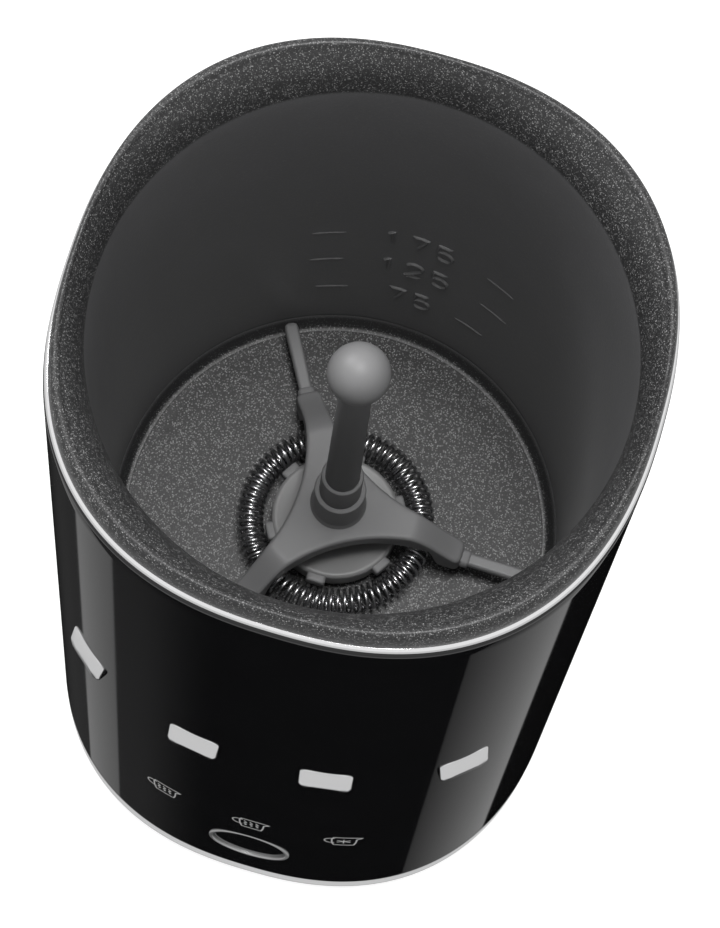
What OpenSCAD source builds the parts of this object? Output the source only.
// Milk frother: a squared-round body with a heated cup, and a whisk that a magnet drive turns.
// Origin at the middle of the surface it stands on, +Z up, the front faces -Y. Millimetres.

/* [Body] */
// Half of the body's depth, front to back
half_depth = 48.5; // [48:0.1:50]
// Half of the body's width, side to side
half_width = 47.1; // [46.8:0.1:48.5]
// How square the plan is, where 2 is an oval
squareness = 2.38; // [2.3:0.02:2.6]
// Height of the outer shell
shell_h = 156.9; // [156:0.1:160]
// Wall of the outer shell
shell_wall = 1.6; // [1.4:0.1:1.6]
// Height of the trim ring at the foot
foot_trim_h = 4; // [3.5:0.1:5]
// Height of the trim ring under the cup's lip
top_trim_h = 1.6; // [1:0.1:2]
// Height of the foot ring under the base cover
foot_h = 1.5; // [1:0.1:2]

/* [Cup] */
// Inner radius of the cup where the wall meets the lip
cup_mouth_r = 42.4; // [42:0.1:42.6]
// Inner radius of the cup at its floor
cup_floor_r = 38.9; // [38:0.1:39]
// Depth from the top of the shell to the cup's floor
cup_depth = 91.4; // [91:0.1:92]
// Wall of the cup
cup_wall = 1.3; // [1.1:0.1:1.4]
// Height of the lip above the top trim ring
lip_h = 4; // [3:0.1:5]

/* [Whisk] */
// Radius of the coiled ring's centre line
spring_ring_r = 15; // [15:0.1:15.4]
// Radius of the coil itself
spring_coil_r = 2.45; // [2.2:0.05:2.5]
// Reach of the arm rods from the whisk's axis
rod_reach = 37; // [33:0.5:37]
// Radius of the ball at the end of the stem
ball_r = 5.05; // [4.5:0.05:6]
// Height of the ball's centre over the cup's floor
ball_h = 77.3; // [70:0.1:80]
// Radius of the pin that the whisk turns on
pin_r = 1.8; // [1.7:0.05:1.8]

/* [Controls] */
// Radius of the push button
button_r = 6.9; // [6.5:0.05:7]
// Distance from the shell's top to the button's middle
button_drop = 139; // [138:0.5:140]
// How far the button travels
button_travel = 0.8; // [0.5:0.1:0.8]
// Distance from the shell's top to the front bars
badge_drop = 76.7; // [70:0.5:85]
// Distance from the shell's top to the lamp windows
window_drop = 121.8; // [120:0.5:123]

/* [Drive] */
// Radius of the motor can
motor_r = 13.5; // [13:0.1:14]
// Height of the motor can
motor_h = 22.2; // [22:0.1:22.2]
// Radius of the motor shaft
shaft_r = 1; // [0.9:0.05:1]
// Radial clearance where a shaft, pin or button slides or turns
running_gap = 0.05; // [0.03:0.01:0.08]

/* [Hidden] */
$fn = 72;
eps = 0.01;

shell_z = foot_h + foot_trim_h;
shell_top = shell_z + shell_h;
lip_z = shell_top + top_trim_h;
lip_top = lip_z + lip_h;
floor_z = shell_top - cup_depth;
floor_under = floor_z - 1.6;
throat_z = shell_top - 2.4;

chassis_z = 11;
chassis_t = 2;
board_z = 17;
board_t = 1.6;
board_top = board_z + board_t;

heater_t = 2.5;
heater_z = floor_under - heater_t;
element_r = 3;
element_ring_r = 28;
stud_r = 1.5;
stud_ring_r = 21.5;
lead_end_z = heater_z - 14;
screw_ring_r = 27;
bracket_z = 58.2;
bracket_t = 1.5;
motor_z = bracket_z - motor_h;
cap_t = 2.5;
carrier_z = 62;
carrier_r = 14;
carrier_t = 4.2;
magnet_ring_r = 9;
whisk_magnet_ring_r = 7.5;
motor_screw_ring_r = 8;

button_z = shell_top - button_drop;
button_face = half_depth - 0.3;
button_ring_r = button_r + 0.8;
board_face = 39;
plunger_r = 1.6;
lamp_gap = 16;
window_turn = 19.76;
window_z = shell_top - window_drop;
badge_turn = 13.55;
badge_z = shell_top - badge_drop;

spring_z = floor_z + 3.4;
arm_top = floor_z + 13.3;
hub_top = arm_top + 7.3;
collar_top = hub_top + 7.3;
ball_z = floor_z + ball_h;
disc_z = floor_z + 1.6;

thirds = [30, 150, 270];
quarters = [45, 135, 225, 315];
lead_turns = [84, 96];
motor_screw_turns = [0, 180];
stud_turns = [60, 180, 300];
arm_turns = [118.7, 238.7, 358.7];

// Distance from the axis to the body's plan outline, set in by inset, at a turn from +X.
function plan_r(turn, inset = 0) =
    pow(pow(abs(cos(turn)) / (half_width - inset), squareness)
        + pow(abs(sin(turn)) / (half_depth - inset), squareness), -1 / squareness);

// Outline of the body's plan, set in by inset.
function plan(inset = 0, steps = 96) =
    [for (i = [0:steps - 1]) let (turn = 360 * i / steps) plan_r(turn, inset) * [cos(turn), sin(turn)]];

// Direction square to the outline at a turn.
function plan_normal(turn) =
    atan2(sign(sin(turn)) * pow(abs(plan_r(turn) * sin(turn)), squareness - 1) / pow(half_depth, squareness),
        sign(cos(turn)) * pow(abs(plan_r(turn) * cos(turn)), squareness - 1) / pow(half_width, squareness));

// A straight wall along the plan, between two insets.
module plan_tube(h, outer, inner) {
    linear_extrude(h) difference() {
        polygon(plan(outer));
        polygon(plan(inner));
    }
}

module plan_plate(h, inset) {
    linear_extrude(h) polygon(plan(inset));
}

module tube(h, outer, inner) {
    difference() {
        cylinder(h = h, r = outer);
        translate([0, 0, -1]) cylinder(h = h + 2, r = inner);
    }
}

// Copies of a piece spread at a radius, one at each turn.
module spread(turns, radius) {
    for (turn = turns) rotate([0, 0, turn]) translate([radius, 0, 0]) children();
}

// Places a piece on the front of the shell with its +X along the outward normal.
module on_shell(side, z, inset = 0) {
    turn = 270 + side;
    translate([plan_r(turn) * cos(turn), plan_r(turn) * sin(turn), z])
        rotate([0, 0, plan_normal(turn)]) translate([-inset, 0, 0]) children();
}

// A cylinder that starts at depth y in front of the axis and runs back into the body.
module front_cylinder(y, length, radius, z) {
    translate([0, -y, z]) rotate([-90, 0, 0]) cylinder(h = length, r = radius);
}

// A flat slab with rounded corners, standing up, its thickness along +X.
module rounded_slab(t, w, h, r) {
    rotate([90, 0, 90]) linear_extrude(t) union() {
        square([w - 2 * r, h], center = true);
        square([w, h - 2 * r], center = true);
        for (x = [-1, 1], y = [-1, 1])
            translate([x * (w / 2 - r), y * (h / 2 - r)]) circle(r, $fn = 32);
    }
}

badge_w = 8.4;
badge_h = 7.6;
badge_proud = 1.4;
badge_seat = 0.7;
window_w = 7;
window_h = 8;
window_t = 1;
icon_turns = [-window_turn, 0, window_turn];
bar_turns = [-3 * badge_turn, -badge_turn, badge_turn, 3 * badge_turn];

module outer_shell() {
    color("black") difference() {
        translate([0, 0, shell_z]) plan_tube(shell_h, 0, shell_wall);
        front_cylinder(half_depth + 1, 6, button_ring_r, button_z);
        for (side = bar_turns)
            on_shell(side, badge_z, badge_seat) rounded_slab(4, badge_w, badge_h, 1.5);
        for (side = icon_turns)
            on_shell(side, window_z, 4) rounded_slab(8, window_w, window_h, 1);
    }
}

module top_trim_ring() {
    color("silver") translate([0, 0, shell_top]) plan_tube(top_trim_h, 0.2, 2.35);
}

module bottom_trim_ring() {
    color("silver") translate([0, 0, foot_h]) plan_tube(foot_trim_h, 0.2, 2.8);
}

module base_cover() {
    cover_t = 2;
    color([0.08, 0.08, 0.08]) difference() {
        union() {
            translate([0, 0, foot_h]) plan_plate(cover_t, 2.85);
            translate([0, 0, foot_h + cover_t - eps]) plan_tube(6, 2.85, 4.4);
        }
        cylinder(h = 12, r = 17.2);
        spread(thirds, screw_ring_r) {
            translate([0, 0, -1]) cylinder(h = 8, r = 1.65);
            translate([0, 0, foot_h - eps]) cylinder(h = 1, r = 3.1);
        }
    }
}

module foot_ring() {
    color([0.12, 0.12, 0.12]) tube(foot_h, 37, 33);
}

module base_screws() {
    color("silver") spread(thirds, screw_ring_r) difference() {
        union() {
            translate([0, 0, foot_h + 0.1]) cylinder(h = 0.8, r = 3);
            translate([0, 0, foot_h + 0.9 - eps]) cylinder(h = 8, r = 1.5);
        }
        translate([-0.4, -1.8, foot_h - 1]) cube([0.8, 3.6, 1.6]);
        translate([-1.8, -0.4, foot_h - 1]) cube([3.6, 0.8, 1.6]);
    }
}

module chassis() {
    posts = [[-26, -24], [26, -24], [-26, 26], [26, 26]];
    color([0.2, 0.2, 0.2]) difference() {
        union() {
            translate([0, 0, chassis_z]) plan_plate(chassis_t, shell_wall + 0.1);
            spread(thirds, screw_ring_r) translate([0, 0, foot_h + 2]) cylinder(h = chassis_z - foot_h - 2 + eps, r = 3.6);
            for (p = posts) translate([p.x, p.y, chassis_z + chassis_t - eps])
                cylinder(h = board_z - chassis_z - chassis_t + eps, r = 2.5);
        }
        spread(thirds, screw_ring_r) translate([0, 0, -1]) cylinder(h = chassis_z + 1, r = 1.5);
        translate([0, 0, chassis_z - 1]) cylinder(h = chassis_t + 2, r = 6);
    }
}

// The lip is a stack of plan slices, each set in a little more than the one below.
lip_steps = 6;
function lip_inset(k) = 0.8 + 2 * (1 - cos(90 * k / lip_steps));
function lip_level(k) = lip_z + lip_h * sin(90 * k / lip_steps);

module inner_cup() {
    color([0.28, 0.28, 0.29]) difference() {
        union() {
            rotate_extrude($fn = 120) polygon([[0, floor_under], [cup_floor_r - 4, floor_under],
                [cup_floor_r + cup_wall, floor_z + 3.4], [cup_mouth_r + cup_wall, throat_z],
                [cup_mouth_r + cup_wall, lip_z + 1], [0, lip_z + 1]]);
            for (k = [0:lip_steps - 1]) translate([0, 0, lip_level(k)])
                plan_plate(lip_level(k + 1) - lip_level(k) + (k < lip_steps - 1 ? eps : 0), lip_inset(k));
        }
        rotate_extrude($fn = 120) polygon([[0, floor_z], [cup_floor_r - 3.5, floor_z],
            [cup_floor_r - 1, floor_z + 1], [cup_floor_r, floor_z + 3.4], [cup_mouth_r, throat_z],
            [cup_mouth_r + 0.8, lip_z + 0.6], [cup_mouth_r + 1.6, lip_z + 2.4],
            [cup_mouth_r + 2.4, lip_top + 1], [0, lip_top + 1]]);
        translate([0, 0, floor_under - 1]) cylinder(h = 4, r = pin_r);
    }
}

module cup_gasket() {
    color([0.3, 0.3, 0.3]) translate([0, 0, shell_top - 2]) plan_tube(2, 1.7, 2.55);
}

module centre_pin() {
    color("silver") {
        translate([0, 0, floor_under]) cylinder(h = 10, r = pin_r);
        translate([0, 0, floor_under + 10 - eps]) cylinder(h = 0.8, r1 = pin_r, r2 = 1);
    }
}

module badge_bars() {
    color("silver") for (side = bar_turns)
        on_shell(side, badge_z, badge_seat - 0.02)
            rounded_slab(badge_seat + badge_proud, badge_w - 0.1, badge_h - 0.1, 1.45);
}

module icon_windows() {
    color([0.1, 0.1, 0.1]) for (side = icon_turns)
        on_shell(side, window_z, window_t + 0.05)
            rounded_slab(window_t, window_w - 0.1, window_h - 0.1, 0.95);
}

module button_ring() {
    color("silver") difference() {
        front_cylinder(half_depth + 0.1, 3.2, button_ring_r - 0.04, button_z);
        front_cylinder(half_depth + 2, 8, button_r + running_gap, button_z);
    }
}

module button_guide() {
    color([0.2, 0.2, 0.2]) difference() {
        front_cylinder(46.2, 46.2 - board_face, 10, button_z);
        front_cylinder(50, 20, 8.8, button_z);
    }
}

module push_button() {
    color([0.05, 0.05, 0.05]) {
        front_cylinder(button_face, 3.9, button_r, button_z);
        front_cylinder(button_face - 3.3, 0.8, 8.4, button_z);
    }
}

module switch_plunger() {
    color("ivory") front_cylinder(button_face - 4.1, 2.6, plunger_r, button_z);
}

module tact_switch() {
    color([0.2, 0.2, 0.2]) difference() {
        translate([-3, -board_face - 3.6, button_z - 3]) cube([6, 3.6, 6]);
        front_cylinder(board_face + 5, 4.2, plunger_r + running_gap, button_z);
    }
}

module front_board() {
    color([0.05, 0.3, 0.12]) translate([-22, -board_face, chassis_z + chassis_t])
        cube([44, 1.4, 32]);
}

module lamps() {
    color("white") for (x = [-lamp_gap, 0, lamp_gap])
        translate([x - 1.5, -board_face - 1.2, window_z - 1.5]) cube([3, 1.2, 3]);
}

module light_guides() {
    color([0.8, 0.8, 0.8]) for (x = [-lamp_gap, 0, lamp_gap])
        translate([x - 2.5, -board_face - 4.4, window_z - 3]) cube([5, 3.1, 6]);
}

module ribbon_cable() {
    color([0.7, 0.7, 0.7]) translate([-5, -board_face + 1.4, board_z + 0.3])
        cube([10, board_face - 31.4, 0.8]);
}

module control_board() {
    color([0.05, 0.3, 0.12]) translate([-30, -30, board_z]) cube([60, 61, board_t]);
}

module relay() {
    color([0.15, 0.25, 0.5]) translate([-26, -18, board_top]) cube([10, 15, 11]);
}

module capacitor() {
    color([0.1, 0.1, 0.15]) translate([21, -8, board_top]) cylinder(h = 12, r = 4);
}

module control_chip() {
    color([0.1, 0.1, 0.1]) translate([-4, 10, board_top]) cube([9, 9, 1.4]);
}

socket_r = 3.3;
socket_end = 9;

module connector_socket() {
    color([0.1, 0.1, 0.1]) difference() {
        translate([0, 0, foot_h + 0.5]) cylinder(h = chassis_z - foot_h - 0.5, r = 17);
        cylinder(h = socket_end, r = socket_r);
        translate([0, 0, socket_end - eps]) cylinder(h = 0.9, r = 2.5);
        tube(7.5, 10, 6.6);
    }
}

module connector_contacts() {
    color([0.8, 0.65, 0.3]) {
        translate([0, 0, socket_end]) cylinder(h = 0.8, r = 2.45);
        translate([0, 0, 6.2]) tube(1.3, 9.9, 9.1);
    }
}

module heat_spreader() {
    color([0.75, 0.75, 0.75]) difference() {
        translate([0, 0, heater_z]) tube(heater_t, 35, 15.5);
        spread(stud_turns, stud_ring_r) translate([0, 0, heater_z - 1]) cylinder(h = heater_t + 2, r = stud_r + 0.1);
    }
}

module heating_element() {
    color([0.45, 0.45, 0.45]) {
        translate([0, 0, heater_z - element_r]) rotate_extrude($fn = 120)
            translate([element_ring_r, 0]) circle(element_r, $fn = 40);
        spread(lead_turns, element_ring_r) translate([0, 0, lead_end_z])
            cylinder(h = heater_z - element_r - lead_end_z, r = 1.2);
    }
}

module thermostat() {
    color("silver") rotate([0, 0, 10]) translate([19.5, 0, heater_z - 6]) cylinder(h = 6, r = 4);
}

module thermal_fuse() {
    color([0.85, 0.8, 0.7]) rotate([0, 0, 120]) translate([19, -5, heater_z - 1.6])
        rotate([-90, 0, 0]) cylinder(h = 10, r = 1.6);
}

module temperature_sensor() {
    color([0.7, 0.6, 0.5]) rotate([0, 0, 240]) translate([18, 0, heater_z - 5]) cylinder(h = 5, r = 1.5);
}

module cup_studs() {
    color("silver") spread(stud_turns, stud_ring_r)
        translate([0, 0, bracket_z - 4]) cylinder(h = floor_under - bracket_z + 4, r = stud_r);
}

module bracket_spacers() {
    color("silver") spread(stud_turns, stud_ring_r)
        translate([0, 0, bracket_z + bracket_t + 1]) tube(heater_z - bracket_z - bracket_t - 1, 2.6, stud_r + 0.05);
}

module rubber_mounts() {
    color([0.1, 0.1, 0.1]) spread(stud_turns, stud_ring_r) difference() {
        union() {
            translate([0, 0, bracket_z - 1]) cylinder(h = 1, r = 4.2);
            translate([0, 0, bracket_z - eps]) cylinder(h = bracket_t + 2 * eps, r = 2.9);
            translate([0, 0, bracket_z + bracket_t]) cylinder(h = 1, r = 4.2);
        }
        translate([0, 0, bracket_z - 2]) cylinder(h = 6, r = stud_r + 0.02);
    }
}

module stud_nuts() {
    color("silver") spread(stud_turns, stud_ring_r) translate([0, 0, bracket_z - 3.4]) difference() {
        cylinder(h = 2.4, r = 3.1, $fn = 6);
        translate([0, 0, -1]) cylinder(h = 5, r = stud_r + 0.02);
    }
}

module motor_bracket() {
    color("silver") difference() {
        translate([0, 0, bracket_z]) cylinder(h = bracket_t, r = 26);
        translate([0, 0, bracket_z - 1]) {
            cylinder(h = 4, r = 3.3);
            spread(stud_turns, stud_ring_r) cylinder(h = 4, r = 2.95);
            spread(motor_screw_turns, motor_screw_ring_r) cylinder(h = 4, r = 1.1);
            spread([120, 240], 30) cylinder(h = 4, r = 10);
        }
    }
}

module motor_screws() {
    color("silver") spread(motor_screw_turns, motor_screw_ring_r) {
        translate([0, 0, bracket_z + bracket_t]) cylinder(h = 1.3, r = 1.9);
        translate([0, 0, bracket_z - 1]) cylinder(h = bracket_t + 1 + eps, r = 0.95);
    }
}

module motor_can() {
    can_t = 1;
    color("silver") difference() {
        translate([0, 0, motor_z]) cylinder(h = motor_h, r = motor_r);
        translate([0, 0, motor_z - 1]) cylinder(h = motor_h - can_t + 1, r = motor_r - can_t);
        translate([0, 0, bracket_z - 3]) cylinder(h = 5, r = 3.05);
        spread(motor_screw_turns, motor_screw_ring_r) translate([0, 0, bracket_z - 3]) cylinder(h = 5, r = 1);
    }
}

module motor_end_cap() {
    color([0.85, 0.85, 0.8]) difference() {
        union() {
            translate([0, 0, motor_z - cap_t]) cylinder(h = cap_t, r = motor_r);
            translate([0, 0, motor_z - eps]) tube(2, motor_r - 1.1, motor_r - 2.5);
        }
        translate([0, 0, motor_z - cap_t - 1]) cylinder(h = 6, r = 2.55);
    }
}

module upper_bush() {
    color([0.8, 0.6, 0.3]) translate([0, 0, bracket_z - 2]) tube(3.5, 3, shaft_r + running_gap);
}

module lower_bush() {
    color([0.8, 0.6, 0.3]) translate([0, 0, motor_z - cap_t]) tube(cap_t, 2.5, shaft_r + running_gap);
}

module field_magnets() {
    color([0.3, 0.3, 0.32]) difference() {
        translate([0, 0, motor_z + 5]) tube(14, motor_r - 1.05, motor_r - 3);
        translate([-3, -20, motor_z]) cube([6, 40, 30]);
    }
}

module brushes() {
    color([0.2, 0.2, 0.2]) for (turn = [90, 270]) rotate([0, 0, turn])
        translate([3.7, -1.5, motor_z]) cube([5, 3, 3]);
}

module motor_shaft() {
    color("silver") translate([0, 0, motor_z - cap_t + 0.5]) cylinder(h = carrier_z + 3.5 - motor_z + cap_t, r = shaft_r);
}

module armature() {
    color([0.5, 0.4, 0.3]) difference() {
        translate([0, 0, motor_z + 6]) tube(12, motor_r - 3.5, shaft_r);
        spread([0:72:288], motor_r - 4) translate([0, 0, motor_z]) cylinder(h = 30, r = 1.6);
    }
}

module commutator() {
    color([0.8, 0.5, 0.3]) translate([0, 0, motor_z + 0.6]) tube(4.6, 3.3, shaft_r);
}

module magnet_carrier() {
    color([0.85, 0.85, 0.85]) difference() {
        union() {
            translate([0, 0, carrier_z]) cylinder(h = carrier_t, r = carrier_r);
            translate([0, 0, carrier_z - 1]) cylinder(h = 1 + eps, r = 2.5);
        }
        translate([0, 0, carrier_z - 2]) cylinder(h = 8, r = shaft_r);
        spread(quarters, magnet_ring_r) translate([0, 0, carrier_z + 1]) cylinder(h = 6, r = 3.55);
    }
}

module drive_magnets() {
    color("silver") spread(quarters, magnet_ring_r)
        translate([0, 0, carrier_z + 1]) cylinder(h = 3.8, r = 3.5);
}

module wiring() {
    color([0.6, 0.1, 0.1]) {
        spread(lead_turns, element_ring_r) translate([0, 0, board_top]) cylinder(h = lead_end_z - board_top, r = 0.8);
        for (x = [-8, 8]) translate([x, 0, board_top]) cylinder(h = motor_z - cap_t - board_top, r = 0.7);
    }
}

// One arm in side view: flat from the hub, over the coiled ring, then down to its rod.
arm_w = 4.6;
arm_end = 23;
rod_z = spring_z + 1.2;
rod_r = 1.25;
function arm_profile() = [[1, arm_top - 2.6], [9, arm_top - 3.2], [spring_ring_r + 0.5, spring_z + spring_coil_r + 1],
    [spring_ring_r + spring_coil_r + 1, spring_z + 1.5], [spring_ring_r + spring_coil_r + 1.4, rod_z - 2],
    [arm_end, rod_z - 2], [arm_end, rod_z + 2], [arm_end - 2, arm_top - 3.4],
    [arm_end - 6, arm_top - 1.2], [9, arm_top], [1, arm_top]];

module whisk_frame() {
    color([0.5, 0.5, 0.5]) difference() {
        union() {
            translate([0, 0, disc_z + 4]) cylinder(h = hub_top - disc_z - 4, r = 4.45);
            translate([0, 0, arm_top - 2.2]) cylinder(h = 1.9, r = 7.5);
            for (turn = arm_turns) rotate([0, 0, turn]) {
                translate([0, arm_w / 2, 0]) rotate([90, 0, 0]) linear_extrude(arm_w) polygon(arm_profile());
                translate([arm_end - 1, 0, rod_z]) rotate([0, 90, 0]) cylinder(h = rod_reach - arm_end + 1, r = rod_r);
            }
        }
        translate([0, 0, floor_z]) cylinder(h = 9.5, r = pin_r + running_gap);
        translate([0, 0, hub_top - 4]) cylinder(h = 5, r = 2.4);
    }
}

module whisk_stem() {
    color([0.5, 0.5, 0.5]) {
        translate([0, 0, hub_top - 4]) cylinder(h = 4 + eps, r = 2.35);
        translate([0, 0, hub_top]) cylinder(h = collar_top - hub_top, r = 3.6);
        translate([0, 0, collar_top - eps]) cylinder(h = ball_z - collar_top, r1 = 3.1, r2 = 2.65);
        translate([0, 0, ball_z]) sphere(ball_r);
    }
}

module whisk_disc() {
    color([0.6, 0.6, 0.6]) difference() {
        union() {
            translate([0, 0, disc_z]) cylinder(h = 4, r = 11.2);
            spread([28.7:60:328.7], 10.8) translate([0, -1.7, disc_z + 1]) cube([1.6, 3.4, 1.6]);
        }
        translate([0, 0, disc_z - 1]) cylinder(h = 6, r = pin_r + running_gap);
        translate([0, 0, disc_z + 2.6]) tube(2, 10, 5.4);
        spread(quarters, whisk_magnet_ring_r) translate([0, 0, disc_z - 1]) cylinder(h = 2.8, r = 2.3);
    }
}

module whisk_magnets() {
    color("silver") spread(quarters, whisk_magnet_ring_r) translate([0, 0, disc_z]) cylinder(h = 1.7, r = 2.25);
}

module whisk_spring() {
    color([0.25, 0.25, 0.25]) translate([0, 0, spring_z]) rotate_extrude($fn = 96)
        translate([spring_ring_r, 0]) circle(spring_coil_r, $fn = 32);
}

outer_shell();
top_trim_ring();
bottom_trim_ring();
base_cover();
foot_ring();
base_screws();
chassis();
inner_cup();
cup_gasket();
centre_pin();
badge_bars();
icon_windows();
button_ring();
button_guide();
push_button();
switch_plunger();
tact_switch();
front_board();
lamps();
light_guides();
ribbon_cable();
control_board();
relay();
capacitor();
control_chip();
connector_socket();
connector_contacts();
heat_spreader();
heating_element();
thermostat();
thermal_fuse();
temperature_sensor();
cup_studs();
bracket_spacers();
rubber_mounts();
stud_nuts();
motor_bracket();
motor_screws();
motor_can();
motor_end_cap();
upper_bush();
lower_bush();
field_magnets();
brushes();
motor_shaft();
armature();
commutator();
magnet_carrier();
drive_magnets();
wiring();
whisk_frame();
whisk_stem();
whisk_disc();
whisk_magnets();
whisk_spring();
